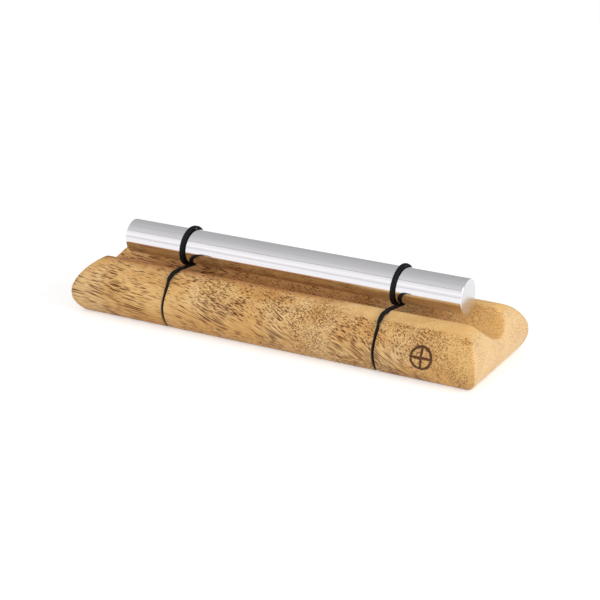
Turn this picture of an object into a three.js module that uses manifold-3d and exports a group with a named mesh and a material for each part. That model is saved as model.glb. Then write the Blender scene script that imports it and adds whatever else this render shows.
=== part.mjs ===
// Chime bar: a round metal bar hung over the trough of a wooden base by two elastic cords.
// Millimetres. +X runs along the bar, +Y to the back, +Z up; the origin is the middle of the underside.
import * as THREE from 'three';
import { mergeVertices } from 'three/addons/utils/BufferGeometryUtils.js';
import Module from 'manifold-3d';

// Driving dimensions: the struck bar
const barDiameter = 18;
const barLength = 193.5;
const barChamfer = 0.6;
const barLift = 7.8; // how far the bar's axis lies over the crests of the base

// Driving dimensions: the wooden base
const baseLength = 232.4;
const baseWidth = 67.6;
const crestHeight = 28.2;
const troughRadius = 15.1;
const troughDrop = 2.5; // how far the trough's axis lies under the bar's
const lipRound = 3.3; // rounding between the crest and the trough

// The long sides bulge: an arc below the widest line, a flattened quarter round above it.
// The undercut is how far the edge of the underside lies in from the widest line.
const side = {
  widestHeight: 12,
  undercut: 6.2,
  squarenessShare: 1.7,
};

// The two ends have the same kind of bulge
const end = {
  widestHeight: 11.3,
  undercut: 5.6,
  shoulderReach: 14.4,
  squarenessShare: 1.65,
};
const endCrown = 0.4; // how far the ends' curve would pass above the crest

// Driving dimensions: the two cords in their kerfs. The stretched cord is flat: its width lies along
// the bar. The drops count down from the crest.
const cordWidth = 2.4;
const cordThickness = 1.75;
const cordSpacing = 120.4;
const cordShift = 1.75; // both kerfs lie this far to the right of the middle
const fitGap = 0.3; // between the cord and whatever it touches
const cordSeat = 0.1; // the cord's middle above the skin of the wood on the crest
const cordProud = 1.3; // the same on the shoulder
const proudDrop = 1.3;
const cordDepth = 0.35; // the cord's skin under the wood's in the kerf
const sinkStartDrop = 2.7;
const sinkRun = 7;
const squeezeShare = 0.52; // the cord is squeezed narrow in its kerf
const squeezeStartDrop = 1.7;
const squeezeRun = 2;

// The front leg meets the bar a little beside its kerf. Round the bar the strand crosses to the left,
// mostly on its way down the front, and so passes beside itself below.
const leftStrandStart = -1.1;
const rightStrandStart = 0.1;
const strandGap = 1.35;
const crossingPower = 3;

// Driving dimensions: the knots under the base
const knotStrand = 2.1;
const knotReach = 3.1;
const knotSwing = 1.25;
const knotHeight = 3.4;
const knotLobes = 3;
const knotWindings = 2;
const pocketClearance = 1.35;

// Facet counts
const barFacets = 72;
const arcSteps = 12;
const troughSteps = 22;
const cordSides = 8;
const runSteps = 44;
const turnSteps = 40;
const legSteps = 6;
const knotSteps = 54;
const pocketFacets = 28;
const gapSamples = 240;
const overrun = 2; // how far cutters reach past what they cut

const wasm = await Module();
wasm.setup();

const barAxisHeight = crestHeight + barLift;
const troughHeight = barAxisHeight - troughDrop;
const cordSink = cordThickness / 2 + cordDepth;
const turnRadius = barDiameter / 2 + fitGap + cordThickness / 2;
const kerfWidth = cordWidth * squeezeShare + 2 * fitGap;
const notchWidth = cordWidth + 2 * fitGap;
const squeezeEndDrop = squeezeStartDrop + squeezeRun;
const pocketRadius = knotReach + knotSwing + knotStrand / 2 + pocketClearance;
const pocketDepth = knotHeight + knotSwing + knotStrand / 2 + pocketClearance;
const cords = [
  { side: 'left', kerfX: cordShift - cordSpacing / 2, strandStart: leftStrandStart },
  { side: 'right', kerfX: cordShift + cordSpacing / 2, strandStart: rightStrandStart },
];

const mix = (a, b, share) => a + (b - a) * share;
const smooth = (share) => {
  const s = THREE.MathUtils.clamp(share, 0, 1);
  return s * s * (3 - 2 * s);
};

// Solids and geometries
function toSolid(geometry) {
  const bare = geometry.clone();
  bare.deleteAttribute('normal');
  bare.deleteAttribute('uv');
  const merged = mergeVertices(bare);
  return new wasm.Manifold(new wasm.Mesh({
    numProp: 3,
    vertProperties: new Float32Array(merged.attributes.position.array),
    triVerts: new Uint32Array(merged.index.array),
  }));
}

function toGeometry(solid) {
  const mesh = solid.getMesh();
  const geometry = new THREE.BufferGeometry();
  geometry.setAttribute('position', new THREE.BufferAttribute(mesh.vertProperties, 3));
  geometry.setIndex(new THREE.BufferAttribute(mesh.triVerts, 1));
  geometry.computeVertexNormals();
  return geometry;
}

// A flat outline given in Y and Z, made thick along X about the plane at x
function slabAcrossX(shape, thickness, x) {
  const geometry = new THREE.ExtrudeGeometry(shape, { depth: thickness, bevelEnabled: false });
  geometry.translate(0, 0, -thickness / 2);
  const toYZ = new THREE.Matrix4().makeBasis(
    new THREE.Vector3(0, 1, 0), new THREE.Vector3(0, 0, 1), new THREE.Vector3(1, 0, 0));
  return geometry.applyMatrix4(toYZ).translate(x, 0, 0);
}

// A flat outline given in X and Z, made thick along Y about the middle
function slabAcrossY(shape, thickness) {
  const geometry = new THREE.ExtrudeGeometry(shape, { depth: thickness, bevelEnabled: false });
  geometry.translate(0, 0, -thickness / 2);
  const toXZ = new THREE.Matrix4().makeBasis(
    new THREE.Vector3(1, 0, 0), new THREE.Vector3(0, 0, 1), new THREE.Vector3(0, -1, 0));
  return geometry.applyMatrix4(toXZ);
}

// The middle of the lip's rounding, on the positive side: the shoulder starts above it
const lipCentre = new THREE.Vector2(
  Math.sqrt((troughRadius + lipRound) ** 2 - (troughHeight - crestHeight + lipRound) ** 2),
  crestHeight - lipRound);
side.shoulderReach = baseWidth / 2 - lipCentre.x;

// The bulge of a side or an end: half is the distance of its widest line from the middle.
// Each point has its place and the outward normal there.
const undercutRadius = ({ widestHeight, undercut }) => (widestHeight ** 2 / undercut + undercut) / 2;
const undercutAngle = (bulge) => Math.asin(bulge.widestHeight / undercutRadius(bulge));

function undercutPoint(bulge, half, angle) {
  const radius = undercutRadius(bulge);
  const normal = new THREE.Vector2(Math.cos(angle), -Math.sin(angle));
  const place = new THREE.Vector2(half - radius, bulge.widestHeight);
  return { place: place.addScaledVector(normal, radius), normal };
}

function shoulderPoint(bulge, half, top, angle) {
  const rise = top - bulge.widestHeight;
  const out = Math.cos(angle) ** (2 / bulge.squarenessShare);
  const up = Math.sin(angle) ** (2 / bulge.squarenessShare);
  const place = new THREE.Vector2(
    half - bulge.shoulderReach + bulge.shoulderReach * out,
    bulge.widestHeight + rise * up);
  const steepness = bulge.squarenessShare - 1;
  const normal = new THREE.Vector2(out ** steepness / bulge.shoulderReach, up ** steepness / rise);
  return { place, normal: normal.normalize() };
}

// From the underside up to the top, on the positive side of the middle
function bulgeOutline(bulge, half, top) {
  const points = [];
  for (let i = 0; i < arcSteps; i += 1) {
    points.push(undercutPoint(bulge, half, undercutAngle(bulge) * (1 - i / arcSteps)).place);
  }
  for (let i = 0; i <= arcSteps; i += 1) {
    points.push(shoulderPoint(bulge, half, top, (Math.PI / 2) * (i / arcSteps)).place);
  }
  return points;
}

// The lip's rounding turns from straight up to the direction of the trough's axis
function lipOutline() {
  const toAxis = Math.atan2(troughHeight - lipCentre.y, -lipCentre.x);
  const points = [];
  for (let i = 0; i < arcSteps / 2; i += 1) {
    const angle = mix(Math.PI / 2, toAxis, i / (arcSteps / 2));
    points.push(new THREE.Vector2(Math.cos(angle), Math.sin(angle))
      .multiplyScalar(lipRound).add(lipCentre));
  }
  return points;
}

function troughOutline() {
  const mouth = Math.atan2(lipCentre.x, troughHeight - lipCentre.y);
  const points = [];
  for (let i = 0; i < troughSteps; i += 1) {
    const angle = mouth * (1 - i / troughSteps);
    points.push(new THREE.Vector2(
      troughRadius * Math.sin(angle), troughHeight - troughRadius * Math.cos(angle)));
  }
  return points;
}

function mirrored(half) {
  const other = half.map((point) => new THREE.Vector2(-point.x, point.y)).reverse();
  return new THREE.Shape([...half, ...other]);
}

// The cord's route in its own plane, on the positive side: x is the distance from the middle.
// The leg is the straight line that touches the rounding of the lip from above and the bar from below.
const legAngle = (() => {
  const rise = barAxisHeight - lipCentre.y;
  const span = Math.hypot(lipCentre.x, rise);
  return Math.asin((lipRound + cordSeat + turnRadius) / span) - Math.atan2(rise, lipCentre.x);
})();
const legOutward = new THREE.Vector2(Math.cos(legAngle), Math.sin(legAngle));
const legUpward = new THREE.Vector2(-Math.sin(legAngle), Math.cos(legAngle));
const lipEnd = lipCentre.clone().addScaledVector(legUpward, lipRound + cordSeat);
const barEnd = new THREE.Vector2(0, barAxisHeight).addScaledVector(legUpward, -turnRadius);

// How far the cord's middle lies outside the skin of the wood at a drop from the crest
function cordOffset(drop) {
  const proud = smooth(drop / proudDrop);
  const sunk = smooth((drop - sinkStartDrop) / sinkRun);
  return mix(mix(cordSeat, cordProud, proud), -cordSink, sunk);
}

function offsetPoint({ place, normal }, inward) {
  return place.clone().addScaledVector(normal, cordOffset(crestHeight - place.y) - inward);
}

const insetRadius = (inward) => undercutRadius(side) - cordSink - inward;
const insetAngle = (inward) => Math.asin(
  (side.widestHeight - cordSink - inward) / insetRadius(inward));

// From the lip over the crest and down the side, to where the cord turns in under the base
function kerfRoute(inward) {
  const points = [];
  const lipSteps = arcSteps / 4;
  for (let i = 0; i < lipSteps; i += 1) {
    const angle = mix(Math.PI / 2 + legAngle, Math.PI / 2, i / lipSteps);
    points.push(new THREE.Vector2(Math.cos(angle), Math.sin(angle))
      .multiplyScalar(lipRound + cordSeat - inward).add(lipCentre));
  }
  const half = baseWidth / 2;
  for (let i = arcSteps; i >= 0; i -= 1) {
    points.push(offsetPoint(
      shoulderPoint(side, half, crestHeight, (Math.PI / 2) * (i / arcSteps)), inward));
  }
  const undercutSteps = arcSteps / 2;
  for (let i = 1; i < undercutSteps; i += 1) {
    const angle = insetAngle(inward) * (i / undercutSteps);
    points.push(offsetPoint(undercutPoint(side, half, angle), inward));
  }
  return points;
}

// Where the level stretch under the base begins
const undersideReach = baseWidth / 2 - undercutRadius(side)
  + insetRadius(0) * Math.cos(insetAngle(0)) - cordWidth;

// One half of the run round the base, from the lip to the knot; way is -1 in front and +1 behind
function halfRun(kerfX, way) {
  const flat = [
    ...kerfRoute(0),
    new THREE.Vector2(undersideReach, cordSink),
    new THREE.Vector2(undersideReach / 2, cordSink),
    new THREE.Vector2(pocketRadius + cordWidth, cordSink),
    new THREE.Vector2(pocketRadius - fitGap, cordSink),
    new THREE.Vector2(knotReach, knotHeight),
  ];
  flat[0].addScaledVector(legOutward, fitGap / 2);
  const points = flat.map((point) => new THREE.Vector3(kerfX, way * point.x, point.y));
  return toSolid(squeezed(flatTube(new THREE.CatmullRomCurve3(points), runSteps), kerfX));
}

// In the kerf the cord is narrow and deep
function squeezed(geometry, kerfX) {
  const position = geometry.attributes.position;
  for (let i = 0; i < position.count; i += 1) {
    const down = (crestHeight - position.getZ(i) - squeezeStartDrop) / squeezeRun;
    const out = (Math.abs(position.getY(i)) - knotReach) / (pocketRadius - knotReach);
    const width = mix(1, squeezeShare, smooth(down) * smooth(out));
    position.setX(i, kerfX + (position.getX(i) - kerfX) * width);
  }
  return geometry;
}

function cordTube(curve, steps, width, thickness) {
  const section = new THREE.Shape();
  for (let i = 0; i < cordSides; i += 1) {
    const angle = (2 * Math.PI * (i + 1 / 2)) / cordSides;
    const point = [(width / 2) * Math.cos(angle), (thickness / 2) * Math.sin(angle)];
    if (i === 0) section.moveTo(...point);
    else section.lineTo(...point);
  }
  section.closePath();
  return new THREE.ExtrudeGeometry(section, { steps, extrudePath: curve, bevelEnabled: false });
}

// Frames whose normals keep to X, so that the flat cord's width stays along the bar
function levelFrames(curve, steps) {
  const tangents = [];
  const normals = [];
  const binormals = [];
  for (let i = 0; i <= steps; i += 1) {
    const tangent = curve.getTangentAt(i / steps);
    const normal = new THREE.Vector3(1, 0, 0).projectOnPlane(tangent).normalize();
    tangents.push(tangent);
    normals.push(normal);
    binormals.push(new THREE.Vector3().crossVectors(tangent, normal));
  }
  return { tangents, normals, binormals };
}

function flatTube(curve, steps) {
  curve.computeFrenetFrames = (count) => levelFrames(curve, count);
  return cordTube(curve, steps, cordWidth, cordThickness);
}

// The cord's two ends are tied in a flat knot that lies in its pocket: a three-lobed closed strand
class KnotCurve extends THREE.Curve {
  constructor(kerfX) {
    super();
    this.kerfX = kerfX;
  }

  getPoint(share, target = new THREE.Vector3()) {
    const angle = 2 * Math.PI * share;
    const lobe = knotReach + knotSwing * Math.cos(knotLobes * angle);
    return target.set(
      this.kerfX + lobe * Math.cos(knotWindings * angle),
      lobe * Math.sin(knotWindings * angle),
      knotHeight + knotSwing * Math.sin(knotLobes * angle));
  }
}

function baseRun(kerfX) {
  const knot = toSolid(cordTube(new KnotCurve(kerfX), knotSteps, knotStrand, knotStrand));
  return halfRun(kerfX, -1).add(halfRun(kerfX, 1)).add(knot);
}

// Where the strand lies at an angle round the bar, counted from below, up at the back and over to the front
function strandX({ kerfX, strandStart }, angle) {
  const share = (angle + legAngle) / (2 * (Math.PI + legAngle));
  return kerfX + strandStart - (cordWidth + strandGap) * share ** crossingPower;
}

// The full turn round the bar, one unbroken strand
class TurnCurve extends THREE.Curve {
  constructor(cord) {
    super();
    this.cord = cord;
    this.from = -legAngle + fitGap / 2 / turnRadius;
    this.to = 2 * Math.PI + legAngle - fitGap / 2 / turnRadius;
  }

  getPoint(share, target = new THREE.Vector3()) {
    const angle = mix(this.from, this.to, share);
    return target.set(
      strandX(this.cord, angle),
      turnRadius * Math.sin(angle),
      barAxisHeight - turnRadius * Math.cos(angle));
  }
}

// The leg between the lip and the bar's underside: it leaves the lip in line with the kerf and meets
// the bar in line with the turn
function legCurve(cord, way) {
  const turn = new TurnCurve(cord);
  const outer = lipEnd.clone().addScaledVector(legOutward, -fitGap / 2);
  const inner = barEnd.clone().addScaledVector(legOutward, fitGap / 2);
  const lip = new THREE.Vector3(cord.kerfX, way * outer.x, outer.y);
  const angle = way < 0 ? -legAngle : 2 * Math.PI + legAngle;
  const bar = new THREE.Vector3(strandX(cord, angle), way * inner.x, inner.y);
  const third = lip.distanceTo(bar) / 3;
  const fromLip = new THREE.Vector3(0, -way * legOutward.x, -legOutward.y);
  const fromBar = turn.getTangent(way < 0 ? 0 : 1).multiplyScalar(way);
  return new THREE.CubicBezierCurve3(
    lip, lip.clone().addScaledVector(fromLip, third), bar.clone().addScaledVector(fromBar, third), bar);
}

// The least gap of a turn to itself and to its two legs, between points a quarter turn apart. The
// flat section is widest along X.
function leastTurnGap(cord) {
  const points = [
    ...legCurve(cord, -1).getPoints(gapSamples / 4),
    ...new TurnCurve(cord).getPoints(gapSamples),
    ...legCurve(cord, 1).getPoints(gapSamples / 4).reverse(),
  ];
  let least = Infinity;
  for (let i = 0; i < points.length; i += 1) {
    for (let j = i + gapSamples / 4; j < points.length; j += 1) {
      const apart = points[i].distanceTo(points[j]);
      const alongShare = (points[i].x - points[j].x) / apart;
      const acrossShare = Math.sqrt(1 - alongShare ** 2);
      const skins = Math.hypot(cordWidth * alongShare, cordThickness * acrossShare);
      least = Math.min(least, apart - skins);
    }
  }
  return least;
}

// The bar
function barGeometry() {
  const half = barLength / 2;
  const radius = barDiameter / 2;
  const profile = [
    new THREE.Vector2(0, -half),
    new THREE.Vector2(radius - barChamfer, -half),
    new THREE.Vector2(radius, barChamfer - half),
    new THREE.Vector2(radius, half - barChamfer),
    new THREE.Vector2(radius - barChamfer, half),
    new THREE.Vector2(0, half),
  ];
  return new THREE.LatheGeometry(profile, barFacets).rotateZ(-Math.PI / 2);
}

// The base: the long section, cut at both ends to the ends' bulge, with a kerf, its two notches
// and a pocket per cord. A cutter takes what lies outside the cord's seat, above a height.
function seatCutter(kerfX, width, fromHeight) {
  const reach = baseWidth / 2 + overrun;
  const outside = new THREE.Shape([
    new THREE.Vector2(-reach, fromHeight),
    new THREE.Vector2(reach, fromHeight),
    new THREE.Vector2(reach, barAxisHeight),
    new THREE.Vector2(-reach, barAxisHeight),
  ]);
  const depth = cordThickness / 2 + fitGap;
  const inside = mirrored([
    new THREE.Vector2(undersideReach, cordSink + depth),
    ...kerfRoute(depth).reverse(),
    lipEnd.clone().addScaledVector(legUpward, -depth).addScaledVector(legOutward, -lipRound),
  ]);
  return toSolid(slabAcrossX(outside, width, kerfX))
    .subtract(toSolid(slabAcrossX(inside, width + overrun, kerfX)));
}

function pocketCutter(kerfX) {
  const height = pocketDepth + overrun;
  const drill = new THREE.CylinderGeometry(pocketRadius, pocketRadius, height, pocketFacets);
  drill.rotateX(Math.PI / 2).translate(kerfX, 0, pocketDepth - height / 2);
  return toSolid(drill);
}

function baseSolid() {
  const section = mirrored([
    ...bulgeOutline(side, baseWidth / 2, crestHeight),
    ...lipOutline(),
    ...troughOutline(),
    new THREE.Vector2(0, troughHeight - troughRadius),
  ].filter((point, i, all) => i === 0 || point.distanceTo(all[i - 1]) > fitGap / 100));
  const ends = mirrored(bulgeOutline(end, baseLength / 2, crestHeight + endCrown));
  let solid = toSolid(slabAcrossX(section, baseLength + 2 * overrun, 0))
    .intersect(toSolid(slabAcrossY(ends, baseWidth + 2 * overrun)));
  for (const { kerfX } of cords) {
    solid = solid
      .subtract(seatCutter(kerfX, kerfWidth, -overrun))
      .subtract(seatCutter(kerfX, notchWidth, crestHeight - squeezeEndDrop))
      .subtract(pocketCutter(kerfX));
  }
  return solid;
}

// Materials
const wood = new THREE.MeshStandardMaterial({ color: 0xd2a064, roughness: 0.55, metalness: 0 });
const metal = new THREE.MeshStandardMaterial({ color: 0xd8d8dc, roughness: 0.2, metalness: 1 });
const elasticCord = new THREE.MeshStandardMaterial({ color: 0x14161c, roughness: 0.8, metalness: 0 });

function named(name, geometry, material) {
  const mesh = new THREE.Mesh(geometry, material);
  mesh.name = name;
  return mesh;
}

function cordGroup(cord) {
  const group = new THREE.Group();
  group.add(
    named(`${cord.side}_cord_base_run`, toGeometry(baseRun(cord.kerfX)), elasticCord),
    named(`${cord.side}_cord_front_leg`, flatTube(legCurve(cord, -1), legSteps), elasticCord),
    named(`${cord.side}_cord_rear_leg`, flatTube(legCurve(cord, 1), legSteps), elasticCord),
    named(`${cord.side}_cord_turn`, flatTube(new TurnCurve(cord), turnSteps), elasticCord),
  );
  return group;
}

const chime = new THREE.Group();
chime.add(named('wooden_base', toGeometry(baseSolid()), wood));
const chimeBar = named('chime_bar', barGeometry(), metal);
chimeBar.position.z = barAxisHeight;
chime.add(chimeBar);
chime.add(...cords.map(cordGroup));
for (const cord of cords) {
  console.log(`least gap of the ${cord.side} turn to itself: ${leastTurnGap(cord).toFixed(2)} mm`);
}

export default chime;
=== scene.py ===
"""Chime bar: looks for a polished round bar that two elastic cords hang over a carved wooden base.

Lengths are written in millimetres and turned into metres where a mesh is made; only those of the
stage and the camera are in metres. +X runs along the bar, +Y to the back, +Z up; the origin is the
middle of the underside.
"""
import math

import bmesh
import bpy
import numpy as np
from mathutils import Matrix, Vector, noise


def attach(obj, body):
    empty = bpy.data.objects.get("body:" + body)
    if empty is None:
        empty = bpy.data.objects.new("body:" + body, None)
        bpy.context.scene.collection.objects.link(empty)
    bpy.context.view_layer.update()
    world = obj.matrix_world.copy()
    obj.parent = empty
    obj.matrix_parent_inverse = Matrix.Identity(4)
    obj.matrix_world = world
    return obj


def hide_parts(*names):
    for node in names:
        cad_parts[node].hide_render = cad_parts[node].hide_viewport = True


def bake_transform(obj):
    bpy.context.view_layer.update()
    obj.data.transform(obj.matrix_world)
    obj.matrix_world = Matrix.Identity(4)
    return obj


MM = 0.001

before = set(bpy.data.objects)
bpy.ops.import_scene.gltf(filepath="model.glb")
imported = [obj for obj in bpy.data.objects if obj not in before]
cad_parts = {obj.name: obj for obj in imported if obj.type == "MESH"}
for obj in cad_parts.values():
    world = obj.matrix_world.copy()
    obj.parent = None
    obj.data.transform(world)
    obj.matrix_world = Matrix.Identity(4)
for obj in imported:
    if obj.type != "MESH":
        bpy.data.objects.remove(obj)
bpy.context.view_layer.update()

# The base, as in the solids
BASE_LENGTH = 232.4
BASE_WIDTH = 67.6
CREST_HEIGHT = 28.2
TROUGH_RADIUS = 15.1
TROUGH_DROP = 2.5
LIP_ROUND = 3.3
SIDE_WIDEST_HEIGHT = 12
SIDE_UNDERCUT = 6.2
SIDE_SQUARENESS = 1.7
END_WIDEST_HEIGHT = 11.3
END_UNDERCUT = 5.6
END_REACH = 14.4
END_SQUARENESS = 1.65
END_CROWN = 0.4

# The bar
BAR_DIAMETER = 18
BAR_LENGTH = 193.5
BAR_LIFT = 7.8
BAR_EDGE_ROUND = 0.55

# The cords
CORD_WIDTH = 2.4
CORD_THICKNESS = 1.75
CORD_SPACING = 120.4
CORD_SHIFT = 1.75
CONTACT_GAP = 0.02  # between the cord and the bar
FIT_GAP = 0.3
CORD_SEAT = 0.1
CORD_PROUD = 1.3
PROUD_DROP = 1.3
CORD_DEPTH = 0.35
SINK_START_DROP = 2.7
SINK_RUN = 7
SQUEEZE_SHARE = 0.52
SQUEEZE_START_DROP = 1.7
SQUEEZE_RUN = 2
STRAND_GAP = 1.35
CROSSING_POWER = 3
KNOT_STRAND = 2.1
KNOT_REACH = 3.1
KNOT_SWING = 1.25
KNOT_HEIGHT = 3.4
KNOT_LOBES = 3
KNOT_WINDINGS = 2
POCKET_CLEARANCE = 1.35

# The braid of the cords
BRAID_DIAMONDS = 4
BRAID_PITCH = 2.0
BRAID_RELIEF = 0.45
CORD_SQUARENESS = 2.8
CORD_STEP = 0.18

# How fine the carved surface is, and how far its edges are sanded
CARVE_VOXEL = 0.75
SANDING_PASSES = 8
SANDING_FACTOR = 0.5
WAVINESS = 0.2
WAVE_LENGTH = 38
WAVE_FADE_HEIGHT = 4
WELD = 0.004
SLIVER_SIDES = 4

# The burnt sign: a ring with an upright cross, on the front face
SIGN_X = 87.5
SIGN_Y = -33.3
SIGN_Z = 14.2
SIGN_LEAN = math.radians(12)  # the face leans back here
SIGN_RADIUS = 5.35
SIGN_LINE = 1.35
SIGN_DEPTH = 0.22
SIGN_CUTS = 3

# How many steps each curve has
ARC_STEPS = 40
ROUTE_STEPS = 12
CURVE_STEPS = 12
LEG_STEPS = 24
TURN_STEPS = 240
KNOT_STEPS = 300
POCKET_STEPS = 64
BAR_EDGE_STEPS = 8
BAR_SEGMENTS = 192
CORD_SIDES = 36

# Edges that bend by more than this stay sharp
BASE_SHARP_ANGLE = math.radians(42)
BAR_SHARP_ANGLE = math.radians(30)
CORD_SHARP_ANGLE = math.radians(60)

BAR_AXIS_HEIGHT = CREST_HEIGHT + BAR_LIFT
TROUGH_HEIGHT = BAR_AXIS_HEIGHT - TROUGH_DROP
CORD_RADIUS = CORD_THICKNESS / 2
CORD_SINK = CORD_RADIUS + CORD_DEPTH
TURN_RADIUS = BAR_DIAMETER / 2 + CONTACT_GAP + CORD_RADIUS
KERF_WIDTH = CORD_WIDTH * SQUEEZE_SHARE + 2 * FIT_GAP
NOTCH_WIDTH = CORD_WIDTH + 2 * FIT_GAP
POCKET_RADIUS = KNOT_REACH + KNOT_SWING + KNOT_STRAND / 2 + POCKET_CLEARANCE
POCKET_DEPTH = KNOT_HEIGHT + KNOT_SWING + KNOT_STRAND / 2 + POCKET_CLEARANCE
CORDS = {
    "left": {"kerf_x": CORD_SHIFT - CORD_SPACING / 2, "strand_start": -1.1},
    "right": {"kerf_x": CORD_SHIFT + CORD_SPACING / 2, "strand_start": 0.1},
}

LIP_X = math.sqrt(
    (TROUGH_RADIUS + LIP_ROUND) ** 2 - (TROUGH_HEIGHT - CREST_HEIGHT + LIP_ROUND) ** 2)
LIP_Z = CREST_HEIGHT - LIP_ROUND
SIDE_REACH = BASE_WIDTH / 2 - LIP_X


def mix(a, b, share):
    return a + (b - a) * share


def smooth(share):
    """Eases a share, or an array of shares, in and out."""
    s = np.clip(share, 0, 1)
    return s * s * (3 - 2 * s)


def undercut_radius(widest, undercut):
    return (widest ** 2 / undercut + undercut) / 2


SIDE_RADIUS = undercut_radius(SIDE_WIDEST_HEIGHT, SIDE_UNDERCUT)
END_RADIUS = undercut_radius(END_WIDEST_HEIGHT, END_UNDERCUT)


# The base's outlines
def shoulder_point(half, reach, widest, top, squareness, angle):
    """A point of the shoulder and its outward normal, in the plane across the bulge."""
    out = math.cos(angle) ** (2 / squareness) if angle < math.pi / 2 else 0.0
    up = math.sin(angle) ** (2 / squareness)
    place = Vector((half - reach + reach * out, widest + (top - widest) * up))
    steep = squareness - 1
    normal = Vector((out ** steep / reach, up ** steep / (top - widest)))
    return place, normal.normalized()


def undercut_point(half, radius, widest, angle):
    normal = Vector((math.cos(angle), -math.sin(angle)))
    return Vector((half - radius, widest)) + normal * radius, normal


def side_shoulder(angle):
    return shoulder_point(
        BASE_WIDTH / 2, SIDE_REACH, SIDE_WIDEST_HEIGHT, CREST_HEIGHT, SIDE_SQUARENESS, angle)


def side_undercut(angle):
    return undercut_point(BASE_WIDTH / 2, SIDE_RADIUS, SIDE_WIDEST_HEIGHT, angle)


def end_shoulder(angle):
    return shoulder_point(
        BASE_LENGTH / 2, END_REACH, END_WIDEST_HEIGHT, CREST_HEIGHT + END_CROWN,
        END_SQUARENESS, angle)


def end_undercut(angle):
    return undercut_point(BASE_LENGTH / 2, END_RADIUS, END_WIDEST_HEIGHT, angle)


def shares(count):
    return [i / count for i in range(count)]


def bulge(undercut, shoulder, radius, widest):
    start = math.asin(widest / radius)
    lower = [undercut(start * (1 - s))[0] for s in shares(ARC_STEPS)]
    upper = [shoulder(math.pi / 2 * s)[0] for s in shares(ARC_STEPS)]
    return lower + upper + [shoulder(math.pi / 2)[0]]


def mirrored(half):
    return half + [Vector((-p.x, p.y)) for p in reversed(half)]


def section_outline():
    """The base's section across the bar: x stands for Y and y for Z."""
    half = bulge(side_undercut, side_shoulder, SIDE_RADIUS, SIDE_WIDEST_HEIGHT)
    to_axis = math.atan2(TROUGH_HEIGHT - LIP_Z, -LIP_X)
    for s in shares(ARC_STEPS // 2)[1:]:
        angle = mix(math.pi / 2, to_axis, s)
        half.append(Vector((LIP_X, LIP_Z)) + Vector((math.cos(angle), math.sin(angle))) * LIP_ROUND)
    mouth = math.atan2(LIP_X, TROUGH_HEIGHT - LIP_Z)
    for s in shares(ARC_STEPS):
        angle = mouth * (1 - s)
        half.append(Vector((TROUGH_RADIUS * math.sin(angle),
                            TROUGH_HEIGHT - TROUGH_RADIUS * math.cos(angle))))
    return mirrored(half)


def ends_outline():
    return mirrored(bulge(end_undercut, end_shoulder, END_RADIUS, END_WIDEST_HEIGHT))


# Objects and meshes
def scene_object(name, data):
    thing = bpy.data.objects.new(name, data)
    bpy.context.scene.collection.objects.link(thing)
    return thing


def mesh_object(name, bm):
    """An object with the worked mesh, its faces turned outward."""
    bm.normal_update()
    bmesh.ops.recalc_face_normals(bm, faces=bm.faces)
    mesh = bpy.data.meshes.new(name)
    bm.to_mesh(mesh)
    bm.free()
    return scene_object(name, mesh)


def opened(mesh):
    bm = bmesh.new()
    bm.from_mesh(mesh)
    return bm


def join_rings(bm, rings):
    """Faces between each ring of vertices and the next one."""
    for one, other in zip(rings, rings[1:]):
        for i in range(len(one)):
            j = (i + 1) % len(one)
            bm.faces.new((one[i], one[j], other[j], other[i]))


def prism(name, outline, low, high, place):
    """A flat outline made thick from low to high; place turns a point and a depth into X, Y, Z."""
    # Booleans need all the faces wound the same way, so the rings are joined from above
    bm = bmesh.new()
    lower = [bm.verts.new(Vector(place(p, low)) * MM) for p in outline]
    upper = [bm.verts.new(Vector(place(p, high)) * MM) for p in outline]
    bm.faces.new(lower)
    bm.faces.new(list(reversed(upper)))
    join_rings(bm, [upper, lower])
    return mesh_object(name, bm)


def across_x(p, depth):
    return (depth, p.x, p.y)


def across_y(p, depth):
    return (p.x, depth, p.y)


def across_z(p, depth):
    return (p.x, p.y, depth)


def apply_modifiers(thing):
    graph = bpy.context.evaluated_depsgraph_get()
    graph.update()
    mesh = bpy.data.meshes.new_from_object(thing.evaluated_get(graph))
    thing.modifiers.clear()
    thing.data = mesh


def boolean(thing, other, operation):
    modifier = thing.modifiers.new(operation, "BOOLEAN")
    modifier.operation = operation
    modifier.solver = "EXACT"
    modifier.object = other
    apply_modifiers(thing)
    bpy.data.objects.remove(other)


def smooth_shaded(thing, sharp_angle):
    for face in thing.data.polygons:
        face.use_smooth = True
    thing.data.set_sharp_from_angle(angle=sharp_angle)


# The cord's route in its own plane: x is the distance from the middle and y the height
def leg_angle():
    rise = BAR_AXIS_HEIGHT - LIP_Z
    span = math.hypot(LIP_X, rise)
    return math.asin((LIP_ROUND + CORD_SEAT + TURN_RADIUS) / span) - math.atan2(rise, LIP_X)


LEG_ANGLE = leg_angle()
LEG_OUT = Vector((math.cos(LEG_ANGLE), math.sin(LEG_ANGLE)))
LEG_UP = Vector((-math.sin(LEG_ANGLE), math.cos(LEG_ANGLE)))
LIP_END = Vector((LIP_X, LIP_Z)) + LEG_UP * (LIP_ROUND + CORD_SEAT)


def cord_offset(drop):
    """How far the cord's middle lies outside the wood, at a drop below the crest."""
    proud = smooth(drop / PROUD_DROP)
    sunk = smooth((drop - SINK_START_DROP) / SINK_RUN)
    return mix(mix(CORD_SEAT, CORD_PROUD, proud), -CORD_SINK, sunk)


def inset_radius(inward):
    return SIDE_RADIUS - CORD_SINK - inward


def inset_angle(inward):
    return math.asin((SIDE_WIDEST_HEIGHT - CORD_SINK - inward) / inset_radius(inward))


UNDERSIDE_REACH = (BASE_WIDTH / 2 - SIDE_RADIUS
                   + inset_radius(0) * math.cos(inset_angle(0)) - CORD_WIDTH)


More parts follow.
